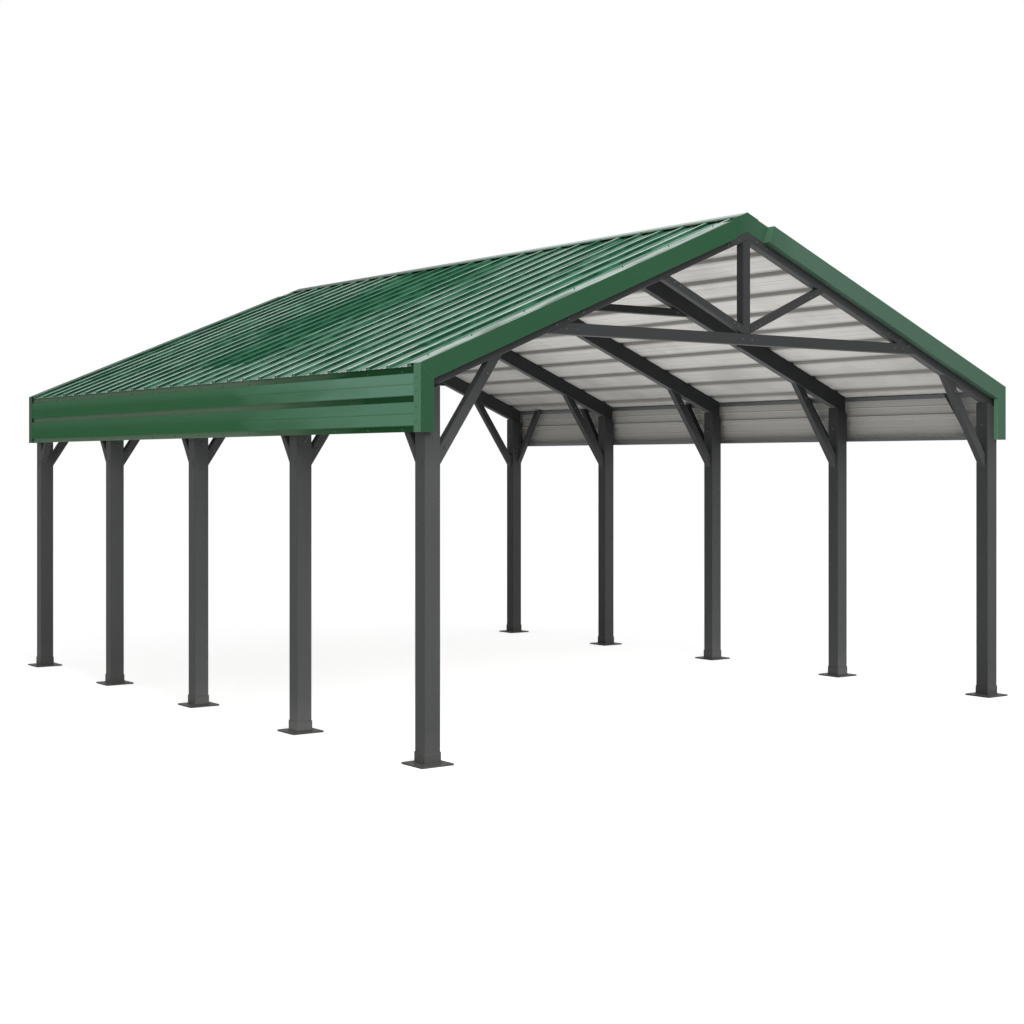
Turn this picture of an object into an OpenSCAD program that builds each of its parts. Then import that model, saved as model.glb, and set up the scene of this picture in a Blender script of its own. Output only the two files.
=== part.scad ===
// Two-car gable carport: five tube frames on bolted feet carry a ribbed roof with short side skirts.
// Millimetres. +Z is up, the front gable looks towards -Y, and the origin is on the ground in mid plan.

/* [Plan] */
// Distance between the two rows of posts, centre to centre
span = 6000; // [5200:50:6800]
// Distance from one frame to the next
bay = 1800; // [1500:50:2100]
// Height of the rafter tops at the outer faces of the posts
eave_h = 2740; // [2550:5:3050]
// Roof pitch in degrees
pitch = 22.6; // [20:0.1:25]

/* [Posts and feet] */
// Side of the square post tube
post_w = 130; // [110:5:150]
// Wall of the post tube
post_wall = 4; // [3:0.5:6]
// Side of the square foot plate
plate_w = 270; // [250:5:320]
// Thickness of the foot plate
plate_t = 12; // [8:1:16]
// Corner radius of the foot plate
plate_r = 14; // [6:1:20]
// Height of the welded sleeve above the plate
sleeve_h = 78; // [60:2:110]
// Wall of the welded sleeve
sleeve_wall = 6; // [4:0.5:10]
// Height of the bevel at the top of the sleeve
sleeve_bevel = 14; // [8:1:20]
// Flat rim left at the top of the sleeve's bevel
sleeve_rim = 1.5; // [1:0.25:3]
// Diameter of an anchor hole
anchor_d = 18; // [14:1:22]
// Distance from an anchor hole to the plate edges
anchor_inset = 35; // [25:1:45]

/* [Frames] */
// Outer corner radius of every square tube
tube_r = 9; // [7:0.5:12]
// Depth of a rafter tube square to the slope
raf_h = 150; // [130:5:165]
// Width of a rafter tube along the building
raf_w = 80; // [60:5:100]
// Wall of the rafters and braces
tube_wall = 3; // [2.5:0.5:5]
// Depth of a knee brace
knee_w = 75; // [60:5:90]
// Width of a knee brace along the building
knee_d = 70; // [50:5:80]
// Foot of a knee brace below the rafter tops at the eave
knee_drop = 695; // [595:5:795]
// Angle of the knee and eave braces above level
brace_angle = 56; // [50:1:60]
// Side of an eave brace tube
eave_brace_w = 62; // [50:2:70]
// Foot of an eave brace below the rafter tops at the eave
eave_brace_drop = 650; // [575:5:715]

/* [Gable trusses] */
// Underside of the tie beam below the underside of the rafter peak
tie_drop = 830; // [755:5:885]
// Depth of the tie beam
tie_h = 90; // [70:5:110]
// Width of the tie beam along the building
tie_d = 60; // [50:5:70]
// Side of the king post tube
king_w = 80; // [70:5:90]
// Length of king post that shows under the tie beam
king_stub = 16; // [8:2:30]
// Side of a web tube
web_w = 60; // [50:5:70]
// Angle of a web above level
web_angle = 24; // [22.5:0.5:30]
// Height of a web's middle line above the tie beam where it meets the king post
web_rise = 34; // [20:2:50]
// Underside of a collar tie below the underside of the rafter peak
collar_drop = 430; // [360:10:520]
// Depth of a collar tie
collar_h = 70; // [50:5:90]
// Width of a collar tie along the building
collar_d = 60; // [50:5:70]

/* [Roof] */
// Thickness of every folded sheet
sheet_t = 2; // [1.5:0.5:3]
// Height of the lining deck's ribs
deck_rib_h = 28; // [22:1:36]
// Width of a deck rib at its base
deck_rib_base = 70; // [50:5:80]
// Width of a deck rib at its top
deck_rib_top = 40; // [25:5:45]
// Height of the roof sheet's ribs
roof_rib_h = 20; // [12:1:26]
// Width of a roof rib at its base
roof_rib_base = 58; // [46:2:70]
// Width of a roof rib at its top
roof_rib_top = 30; // [20:2:36]
// Distance from the sheet's end to its first rib
edge_rib = 50; // [42:2:60]
// Height of the fine stiffening creases in the pans
crease_h = 4; // [2:0.5:6]
// Width of a stiffening crease
crease_w = 18; // [12:2:24]
// Length of a ridge cap leg down the slope
cap_w = 110; // [90:5:150]

/* [Skirts and trims] */
// Height of a side skirt
skirt_h = 455; // [405:5:500]
// Depth of the skirt's recessed bands
skirt_rib_h = 18; // [12:1:24]
// Height of the recessed band at the top of a skirt
skirt_head = 46; // [38:1:56]
// Height of the recessed band at the bottom of a skirt
skirt_band = 38; // [30:1:46]
// Height of the middle recessed band
skirt_groove = 34; // [24:1:40]
// Middle of that band above the lower edge of the skirt
skirt_mid = 228; // [200:2:250]
// Run of the sloping side of a recessed band
skirt_slope = 9; // [6:1:14]
// Depth of the skirt rails outward from the posts
rail_d = 42; // [30:1:50]
// Height of the skirt rails
rail_h = 35; // [30:1:45]
// Wall of the skirt rails
rail_wall = 2; // [1.5:0.5:3]
// Distance from the gable posts' outer faces to the face of the gable trims
rake_out = 46; // [36:2:56]
// Height of a rake trim's face square to the slope
rake_h = 140; // [124:2:156]
// Depth of a rake trim's top leg over the roof edge
rake_leg = 168; // [160:2:190]
// Distance from the ridge down the slope to the end of a rake trim
rake_gap = 230; // [180:10:280]
// Width of a corner trim's front leg
corner_w = 108; // [90:2:126]
// Depth of a corner trim's side leg
corner_d = 88; // [78:1:90]

/* [Fits] */
// Gap left between pieces that are screwed or bolted together
seat = 0.2; // [0.1:0.05:0.3]
// Gap around a post in its sleeve
sleeve_fit = 0.3; // [0.2:0.05:0.4]

/* [Hidden] */
frames = 5;
deck_ribs = 10;
roof_ribs = 27;
eps = 1;
post_in = span / 2 - post_w / 2;
post_out = span / 2 + post_w / 2;
end_y = (frames - 1) / 2 * bay;
ridge_z = eave_h + post_out * tan(pitch);
raf_v = raf_h / cos(pitch);
peak_z = ridge_z - raf_v;
post_z = plate_t + seat;
// Heights of the roof layers above the rafter tops, square to the slope
deck_n = seat;
deck_top_n = deck_n + deck_rib_h + sheet_t;
roof_n = deck_top_n + seat;
roof_top_n = roof_n + roof_rib_h + sheet_t;
trim_n = roof_top_n + seat;
trim_top_n = trim_n + sheet_t;
trim_low_n = trim_top_n - rake_h;
// Planes of the skirts and trims
rail_x = post_out + seat;
skirt_x = rail_x + rail_d + seat;
skirt_out = skirt_x + skirt_rib_h + sheet_t;
side_out = skirt_out + seat + sheet_t;
gable_out = end_y + post_w / 2 + rake_out;
sheet_y = gable_out - corner_d - 6;
long_y = gable_out - sheet_t - 1;
skirt_top = ridge_z + roof_n / cos(pitch) - (skirt_x + sheet_t) * tan(pitch) - 2 * seat;
skirt_low = skirt_top - skirt_h;
deck_end = (skirt_x - seat - deck_top_n * sin(pitch)) / cos(pitch);
rail_top = ridge_z - deck_end * sin(pitch) + deck_n * cos(pitch) - seat;
corner_z = ridge_z + trim_top_n / cos(pitch) - side_out * tan(pitch);
mitre_z = corner_z + corner_w * tan(pitch) - rake_h / cos(pitch);
tie_z = peak_z - tie_drop;
tie_top = tie_z + tie_h;
collar_z = peak_z - collar_drop;
truss_y = end_y + raf_w / 2;
rake_lip = gable_out - truss_y - sheet_t - 2 * seat;
corner_lip = rake_out - seat;

function frame_y(i) = (i - (frames - 1) / 2) * bay;
function under_z(x) = peak_z - x * tan(pitch);
function under_x(z) = (peak_z - seat - z) / tan(pitch);
function flip(list) = [for (k = [len(list) - 1 : -1 : 0]) list[k]];
function spread(base, top, h) = sheet_t * tan(atan2(h, (base - top) / 2) / 2);
function rib(c, base, top, h, e, z) = [
    [c - base / 2 - e, z],
    [c - top / 2 - e, z + h],
    [c + top / 2 + e, z + h],
    [c + base / 2 + e, z]
];
function crease(c, z) = [[c - crease_w / 2, z], [c, z + crease_h], [c + crease_w / 2, z]];

// One face of a ribbed sheet: ribs at first + k * step, with two creases in each pan between them
function face_line(first, step, count, base, top, h, e, z) = [
    for (k = [0 : count - 1]) each concat(
        rib(first + k * step, base, top, h, e, z),
        k < count - 1
            ? concat(crease(first + (k + 0.38) * step, z), crease(first + (k + 0.62) * step, z))
            : []
    )
];

// Closed outline of a ribbed sheet from a to b along its width
function sheet_line(a, b, first, step, count, base, top, h, z) =
    let (e = spread(base, top, h))
    concat(
        [[a, z]],
        face_line(first, step, count, base, top, h, 0, z),
        [[b, z], [b, z + sheet_t]],
        flip(face_line(first, step, count, base, top, h, e, z + sheet_t)),
        [[a, z + sheet_t]]
    );

// Draws an outline in the X-Z plane, w long along Y and centred on it
module bar_xz(points, w) {
    translate([0, w / 2, 0])
        rotate([90, 0, 0])
            linear_extrude(w)
                polygon(points);
}

// Draws an outline in the Y-Z plane, from x to x + w
module bar_yz(points, x, w) {
    translate([x, 0, 0])
        rotate([90, 0, 90])
            linear_extrude(w)
                polygon(points);
}

// Outline with rounded corners, w by d
module round_square(w, d, r) {
    square([w - 2 * r, d], center = true);
    square([w, d - 2 * r], center = true);
    for (sx = [-1, 1])
        for (sy = [-1, 1])
            translate([sx * (w / 2 - r), sy * (d / 2 - r)])
                circle(r, $fn = 24);
}

// Rolled square tube along local X, h tall and d along local Y
module tube(h, d, wall, length) {
    rotate([90, 0, 90])
        linear_extrude(length)
            difference() {
                round_square(d, h, tube_r);
                round_square(d - 2 * wall, h - 2 * wall, tube_r - wall);
            }
}

// Children drawn for the right side (1) are mirrored for the left side (-1)
module on_side(side) {
    mirror([side < 0 ? 1 : 0, 0, 0])
        children();
}

// Children drawn for the front (-1) are mirrored for the back (1)
module on_end(end) {
    mirror([0, end > 0 ? 1 : 0, 0])
        children();
}

// Local X runs down the right slope from the ridge, local Z is square to it
module on_slope() {
    translate([0, 0, ridge_z])
        rotate([0, pitch, 0])
            children();
}

// Feet: plate, welded sleeve with a bevelled top, and four anchor holes
function bevel_line(half) =
    let (top = plate_t + sleeve_h)
    let (rim = half - sleeve_wall + sleeve_rim)
    [[-half, 0], [half, 0], [half, top - sleeve_bevel], [rim, top], [-rim, top], [-half, top - sleeve_bevel]];

module foot() {
    inner = post_w + 2 * sleeve_fit;
    outer = inner + 2 * sleeve_wall;
    hole = plate_w / 2 - anchor_inset;
    difference() {
        union() {
            linear_extrude(plate_t)
                round_square(plate_w, plate_w, plate_r);
            intersection() {
                linear_extrude(plate_t + sleeve_h)
                    round_square(outer, outer, tube_r + sleeve_fit + sleeve_wall);
                bar_xz(bevel_line(outer / 2), outer + 2 * eps);
                bar_yz(bevel_line(outer / 2), -outer / 2 - eps, outer + 2 * eps);
            }
        }
        translate([0, 0, plate_t])
            linear_extrude(sleeve_h + eps)
                round_square(inner, inner, tube_r + sleeve_fit);
        for (sx = [-1, 1])
            for (sy = [-1, 1])
                translate([sx * hole, sy * hole, -eps])
                    cylinder(d = anchor_d, h = plate_t + 2 * eps, $fn = 32);
    }
}

module feet(side) {
    color("#3E4143")
        for (i = [0 : frames - 1])
            translate([side * span / 2, frame_y(i), 0])
                foot();
}

// Posts: square tube, top cut to the underside of the rafter
module post(side, i) {
    x = post_in - eps;
    far = post_out + eps;
    color("#3E4143")
        on_side(side)
            translate([0, frame_y(i), 0])
                intersection() {
                    translate([span / 2, 0, 0])
                        rotate([0, -90, 0])
                            tube(post_w, post_w, post_wall, ridge_z);
                    bar_xz([[x, post_z], [far, post_z], [far, under_z(far) - seat], [x, under_z(x) - seat]],
                        post_w + 2 * eps);
                }
}

// Rafters: two tubes that meet in a plumb joint under the ridge
module rafters(i) {
    near = seat / 2;
    top = ridge_z + eps;
    color("#3E4143")
        for (side = [-1, 1])
            on_side(side)
                translate([0, frame_y(i), 0])
                    intersection() {
                        on_slope()
                            translate([-raf_h, 0, -raf_h / 2])
                                tube(raf_h, raf_w, tube_wall, span / 2 + 4 * raf_h);
                        bar_xz([[near, 0], [post_out, 0], [post_out, top], [near, top]], raf_w + 2 * eps);
                    }
}

// Knee braces: from the inner face of each post up to its rafter
module knee_braces(side) {
    x = post_in - seat;
    color("#3E4143")
        on_side(side)
            for (i = [0 : frames - 1])
                translate([0, frame_y(i), 0])
                    intersection() {
                        translate([post_in, 0, eave_h - knee_drop + knee_w / 2 / cos(brace_angle)])
                            rotate([0, 180 + brace_angle, 0])
                                translate([-3 * knee_w, 0, 0])
                                    tube(knee_w, knee_d, tube_wall, 2 * knee_drop + 3 * knee_w);
                        bar_xz([[0, 0], [x, 0], [x, under_z(x) - seat], [0, peak_z - seat]],
                            knee_d + 2 * eps);
                    }
}

// Eave braces: along the building, from the side of each post up under the lining deck
module eave_braces(side) {
    near = post_w / 2 + seat;
    x = post_out - eave_brace_w / 2;
    z = eave_h - eave_brace_drop + eave_brace_w / 2 / cos(brace_angle);
    color("#3E4143")
        on_side(side)
            for (i = [0 : frames - 1])
                translate([0, frame_y(i), 0])
                    mirror([0, i == frames - 1 ? 1 : 0, 0])
                        intersection() {
                            translate([x, near, z])
                                rotate([0, -brace_angle, 90])
                                    translate([-3 * eave_brace_w, 0, 0])
                                        tube(eave_brace_w, eave_brace_w, tube_wall,
                                            2 * eave_brace_drop + 3 * eave_brace_w);
                            bar_yz([[near, 0], [bay, 0], [bay, rail_top], [near, rail_top]],
                                x - eave_brace_w / 2 - eps, eave_brace_w + 2 * eps);
                        }
}

// Level tube between the undersides of two rafters
module level_tube(low, h, d) {
    reach = under_x(low);
    a = under_x(low - eps);
    b = under_x(low + h + eps);
    intersection() {
        translate([-reach - h, 0, low + h / 2])
            tube(h, d, tube_wall, 2 * reach + 2 * h);
        bar_xz([[-a, low - eps], [a, low - eps], [b, low + h + eps], [-b, low + h + eps]], d + 2 * eps);
    }
}

// Gable trusses: tie beam, king post and two webs, flush with the rafters' outer faces
module tie_beam(end) {
    color("#3E4143")
        on_end(end)
            translate([0, tie_d / 2 - truss_y, 0])
                level_tube(tie_z, tie_h, tie_d);
}

module king_post(end) {
    h = king_w / 2;
    x = h + eps;
    low = tie_z - king_stub;
    color("#3E4143")
        on_end(end)
            translate([0, h - truss_y, 0])
                difference() {
                    intersection() {
                        rotate([0, -90, 0])
                            tube(king_w, king_w, tube_wall, ridge_z);
                        bar_xz([[-x, low], [x, low], [x, under_z(x) - seat], [0, peak_z - seat],
                            [-x, under_z(x) - seat]], king_w + 2 * eps);
                    }
                    translate([-x, -x, low - eps])
                        cube([2 * x, tie_d + seat + eps, tie_top + seat - low + eps]);
                }
}

module webs(end) {
    near = king_w / 2 + seat;
    low = tie_top + seat;
    color("#3E4143")
        on_end(end)
            translate([0, web_w / 2 - truss_y, 0])
                for (side = [-1, 1])
                    on_side(side)
                        intersection() {
                            translate([king_w / 2, 0, tie_top + web_rise])
                                rotate([0, -web_angle, 0])
                                    translate([-3 * web_w, 0, 0])
                                        tube(web_w, web_w, tube_wall, span / 2);
                            bar_xz([[near, low], [under_x(low), low], [near, under_z(near) - seat]],
                                web_w + 2 * eps);
                        }
}

module collar_ties() {
    color("#3E4143")
        for (i = [1 : frames - 2])
            translate([0, frame_y(i), 0])
                level_tube(collar_z, collar_h, collar_d);
}

// Skirt rails: one under the eave and one at the lower edge of the skirt
module rail(low) {
    difference() {
        translate([rail_x, -long_y, low])
            cube([rail_d, 2 * long_y, rail_h]);
        translate([rail_x + rail_wall, -long_y - eps, low + rail_wall])
            cube([rail_d - 2 * rail_wall, 2 * long_y + 2 * eps, rail_h - 2 * rail_wall]);
    }
}

module skirt_rails(side) {
    color("#83868A")
        on_side(side) {
            rail(rail_top - rail_h);
            rail(skirt_low + 1);
        }
}

// Lining deck: ribs run along the building, pans lie on the rafters
module lining_deck(side) {
    a = deck_top_n * tan(pitch) + 4;
    b = deck_end;
    step = (b - a) / deck_ribs;
    color("#BDBBB7")
        on_side(side)
            on_slope()
                bar_xz(sheet_line(a, b, a + step / 2, step, deck_ribs, deck_rib_base, deck_rib_top,
                    deck_rib_h, deck_n), 2 * sheet_y);
}

// Roof sheets: ribs run up the slope and lie on the deck's ribs
module roof_sheet(side) {
    a = roof_top_n * tan(pitch) + 12;
    b = (side_out + 4 - roof_top_n * sin(pitch)) / cos(pitch);
    step = 2 * (sheet_y - edge_rib) / (roof_ribs - 1);
    color("#2F6A4D")
        on_side(side)
            on_slope()
                bar_yz(sheet_line(-sheet_y, sheet_y, edge_rib - sheet_y, step, roof_ribs, roof_rib_base,
                    roof_rib_top, roof_rib_h, roof_n), a, b - a);
}

// Ridge cap over the rib tops, and the folded plates that close its two ends
function slope_point(u, n) = [u * cos(pitch) + n * sin(pitch), ridge_z - u * sin(pitch) + n * cos(pitch)];
function mirrored(p) = [-p[0], p[1]];
function chevron(u, low, high) = [
    [0, ridge_z + low / cos(pitch)],
    slope_point(u, low),
    slope_point(u, high),
    [0, ridge_z + high / cos(pitch)],
    mirrored(slope_point(u, high)),
    mirrored(slope_point(u, low))
];

module ridge_cap() {
    color("#2C5C3C")
        bar_xz(chevron(cap_w, trim_n, trim_top_n), 2 * (truss_y + seat + sheet_t + 4));
}

module ridge_ends() {
    color("#2C5C3C")
        for (end = [-1, 1])
            translate([0, end * (truss_y + seat + sheet_t / 2), 0])
                bar_xz(chevron(rake_gap + 45, trim_low_n, trim_n - 2 * seat), sheet_t);
}

// Side beyond the mitre between a rake trim and its corner trim
module mitre_side(shift) {
    dx = -corner_w;
    dz = mitre_z - corner_z;
    d = norm([dx, dz]);
    nx = -dz / d;
    nz = dx / d;
    far = 3 * rake_h;
    x = side_out + shift * nx;
    z = corner_z + shift * nz;
    bar_xz([
        [x - dx * 6, z - dz * 6],
        [x + dx * 6, z + dz * 6],
        [x + dx * 6 + far * 4 * nx, z + dz * 6 + far * 4 * nz],
        [x - dx * 6 + far * 4 * nx, z - dz * 6 + far * 4 * nz]
    ], 2 * gable_out + 2 * eps);
}

// Rake trims: box folded over the gable edge of the roof, its end at the peak folded shut
module rake_trim(side, end) {
    g = -gable_out;
    t = sheet_t;
    color("#345A41")
        on_side(side)
            on_end(end)
                difference() {
                    on_slope() {
                        bar_yz([[g, trim_low_n], [g, trim_top_n], [g + rake_leg, trim_top_n],
                            [g + rake_leg, trim_n], [g + t, trim_n], [g + t, trim_low_n + t],
                            [g + rake_lip, trim_low_n + t], [g + rake_lip, trim_low_n]],
                            rake_gap, side_out / cos(pitch));
                        translate([rake_gap, g, trim_low_n])
                            cube([t, rake_lip, rake_h]);
                    }
                    mitre_side(-seat);
                }
}

// Corner trims: channel over the ends of the skirt, back to the post, mitred under the rake trim
module corner_trims(side) {
    g = -gable_out;
    t = sheet_t;
    x = side_out - corner_w;
    color("#345A41")
        on_side(side)
            for (end = [-1, 1])
                on_end(end)
                    intersection() {
                        translate([0, 0, skirt_low - 2])
                            linear_extrude(corner_z - skirt_low + 2)
                                polygon([[x, g], [side_out, g], [side_out, g + corner_d],
                                    [side_out - t, g + corner_d], [side_out - t, g + t], [x + t, g + t],
                                    [x + t, g + corner_lip], [x, g + corner_lip]]);
                        mitre_side(seat);
                    }
}

// Skirts: wide pans outside, recessed bands at the top, near the middle and at the bottom
function skirt_wave(x) =
    let (a = skirt_low + skirt_band)
    let (b = skirt_top - skirt_head)
    let (m = skirt_low + skirt_mid)
    let (o = x + skirt_rib_h)
    let (g = skirt_groove / 2)
    let (q1 = (a + m - g) / 2)
    let (q2 = (b + m + g) / 2)
    [
        [x, skirt_low],
        [x, a],
        [o, a + skirt_slope],
        [o, q1 - crease_w / 2],
        [o - crease_h, q1],
        [o, q1 + crease_w / 2],
        [o, m - g - skirt_slope],
        [x, m - g],
        [x, m + g],
        [o, m + g + skirt_slope],
        [o, q2 - crease_w / 2],
        [o - crease_h, q2],
        [o, q2 + crease_w / 2],
        [o, b - skirt_slope],
        [x, b],
        [x, skirt_top]
    ];

module skirt(side) {
    color("#2C5C3C")
        on_side(side)
            bar_xz(concat(skirt_wave(skirt_x), flip(skirt_wave(skirt_x + sheet_t))), 2 * long_y);
}

feet(-1);  // left_feet
feet(1);  // right_feet
post(-1, 0);  // left_post_1
post(-1, 1);  // left_post_2
post(-1, 2);  // left_post_3
post(-1, 3);  // left_post_4
post(-1, 4);  // left_post_5
post(1, 0);  // right_post_1
post(1, 1);  // right_post_2
post(1, 2);  // right_post_3
post(1, 3);  // right_post_4
post(1, 4);  // right_post_5
rafters(0);  // rafters_1
rafters(1);  // rafters_2
rafters(2);  // rafters_3
rafters(3);  // rafters_4
rafters(4);  // rafters_5
knee_braces(-1);  // left_knee_braces
knee_braces(1);  // right_knee_braces
eave_braces(-1);  // left_eave_braces
eave_braces(1);  // right_eave_braces
tie_beam(-1);  // front_tie_beam
king_post(-1);  // front_king_post
webs(-1);  // front_webs
tie_beam(1);  // back_tie_beam
king_post(1);  // back_king_post
webs(1);  // back_webs
collar_ties();
skirt_rails(-1);  // left_skirt_rails
skirt_rails(1);  // right_skirt_rails
lining_deck(-1);  // left_lining_deck
lining_deck(1);  // right_lining_deck
roof_sheet(-1);  // left_roof_sheet
roof_sheet(1);  // right_roof_sheet
ridge_cap();
ridge_ends();
rake_trim(-1, -1);  // front_left_rake_trim
rake_trim(1, -1);  // front_right_rake_trim
rake_trim(-1, 1);  // back_left_rake_trim
rake_trim(1, 1);  // back_right_rake_trim
corner_trims(-1);  // left_corner_trims
corner_trims(1);  // right_corner_trims
skirt(-1);  // left_skirt
skirt(1);  // right_skirt
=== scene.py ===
import math
import bpy
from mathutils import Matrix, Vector


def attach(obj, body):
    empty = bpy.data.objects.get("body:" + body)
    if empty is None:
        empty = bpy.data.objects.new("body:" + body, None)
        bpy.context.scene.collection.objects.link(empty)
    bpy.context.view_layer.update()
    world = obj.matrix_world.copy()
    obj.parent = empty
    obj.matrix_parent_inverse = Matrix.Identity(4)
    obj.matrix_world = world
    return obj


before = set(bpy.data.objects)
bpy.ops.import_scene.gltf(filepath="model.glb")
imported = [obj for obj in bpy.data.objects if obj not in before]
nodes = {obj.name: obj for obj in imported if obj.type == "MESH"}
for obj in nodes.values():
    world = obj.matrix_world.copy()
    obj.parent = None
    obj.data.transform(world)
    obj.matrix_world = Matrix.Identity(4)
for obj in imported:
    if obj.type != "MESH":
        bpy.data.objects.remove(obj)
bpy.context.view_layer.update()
print("frame:", len(nodes), "CAD nodes loaded")

# Main lines of the carport in metres, as the solids have them
plan = {
    "pitch": math.radians(22.6),
    "halfSpan": 3.0,
    "bay": 1.8,
    "frames": 5,
    "postHalf": 0.065,
    "eaveTop": 2.740,
    "gableFace": 3.64,
}
postOut = plan["halfSpan"] + plan["postHalf"]
postIn = plan["halfSpan"] - plan["postHalf"]
ridgeTop = plan["eaveTop"] + postOut * math.tan(plan["pitch"])
frameLines = [(i - (plan["frames"] - 1) / 2) * plan["bay"] for i in range(plan["frames"])]
gables = (-1, 1)  # front, back
sides = (-1, 1)  # left slope, right slope

# Ribs of the roof sheet, one beside the other along the building
ribs = {"count": 27, "first": -3.567}
ribStep = -2 * ribs["first"] / (ribs["count"] - 1)
ribLines = [ribs["first"] + k * ribStep for k in range(ribs["count"])]


def linear(hexText):  # sRGB hex to the linear colour that a socket takes
    parts = [int(hexText[i:i + 2], 16) / 255 for i in (1, 3, 5)]
    return tuple(c / 12.92 if c <= 0.04045 else ((c + 0.055) / 1.055) ** 2.4 for c in parts) + (1.0,)


def addNode(tree, kind, values={}, links={}, **settings):
    node = tree.nodes.new(kind)
    for name, value in settings.items():
        setattr(node, name, value)
    for socket, value in values.items():
        node.inputs[socket].default_value = value
    for socket, source in links.items():
        tree.links.new(source, node.inputs[socket])
    return node


def startFinish(name, **sockets):  # new material, with its tree and Object coordinates
    material = bpy.data.materials.new(name)
    material.use_nodes = True
    shader = material.node_tree.nodes["Principled BSDF"]
    for socket, value in sockets.items():
        shader.inputs[socket.replace("_", " ")].default_value = value
    place = addNode(material.node_tree, "ShaderNodeTexCoord").outputs["Object"]
    return material, material.node_tree, place


def endFinish(material, links, cloud=None, rough=None, height=None, relief=None):
    # rough is a range that follows a cloud, and relief the strength and depth in metres of a bump
    tree = material.node_tree
    joined = dict(links)
    if rough:
        spread = addNode(
            tree, "ShaderNodeMapRange", {"To Min": rough[0], "To Max": rough[1]}, {"Value": cloud})
        joined["Roughness"] = spread.outputs[0]
    if relief:
        bump = addNode(
            tree, "ShaderNodeBump", {"Strength": relief[0], "Distance": relief[1]}, {"Height": height})
        joined["Normal"] = bump.outputs[0]
    for socket, source in joined.items():
        tree.links.new(source, tree.nodes["Principled BSDF"].inputs[socket])
    return material


def splitFacing(tree):  # where a face looks, along X, Y and Z
    normal = addNode(tree, "ShaderNodeTexCoord").outputs["Normal"]
    return addNode(tree, "ShaderNodeSeparateXYZ", {}, {0: normal}).outputs


def pattern(tree, place, sizes, detail=4.0, grain=0.5):  # noise in blotches of these sizes in mm
    scaled = addNode(
        tree, "ShaderNodeMapping", {"Scale": tuple(1000 / size for size in sizes)}, {"Vector": place})
    noise = addNode(
        tree, "ShaderNodeTexNoise", {"Scale": 1.0, "Detail": detail, "Roughness": grain},
        {"Vector": scaled.outputs[0]})
    return noise.outputs[0]


def slopePoint(side, down, y, rise):  # metres down the slope from the ridge, and square to it
    c, s = math.cos(plan["pitch"]), math.sin(plan["pitch"])
    return Vector((side * (down * c + rise * s), y, ridgeTop - down * s + rise * c))


def slopeNormal(side):
    return Vector((side * math.sin(plan["pitch"]), 0, math.cos(plan["pitch"])))


def slopeFrame(tree, place):  # along the building, down the slope, and square to it above the rafter tops
    spot = addNode(tree, "ShaderNodeSeparateXYZ", {}, {0: place}).outputs
    across = addNode(tree, "ShaderNodeMath", {}, {0: spot["X"]}, operation="ABSOLUTE")
    height = addNode(tree, "ShaderNodeMath", {1: ridgeTop}, {0: spot["Z"]}, operation="SUBTRACT")
    flat = addNode(tree, "ShaderNodeCombineXYZ", {}, {"X": across.outputs[0], "Z": height.outputs[0]})
    c, s = math.cos(plan["pitch"]), math.sin(plan["pitch"])
    down = addNode(
        tree, "ShaderNodeVectorMath", {1: (c, 0, -s)}, {0: flat.outputs[0]}, operation="DOT_PRODUCT")
    rise = addNode(
        tree, "ShaderNodeVectorMath", {1: (s, 0, c)}, {0: flat.outputs[0]}, operation="DOT_PRODUCT")
    return spot["Y"], down.outputs["Value"], rise.outputs["Value"]


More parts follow.
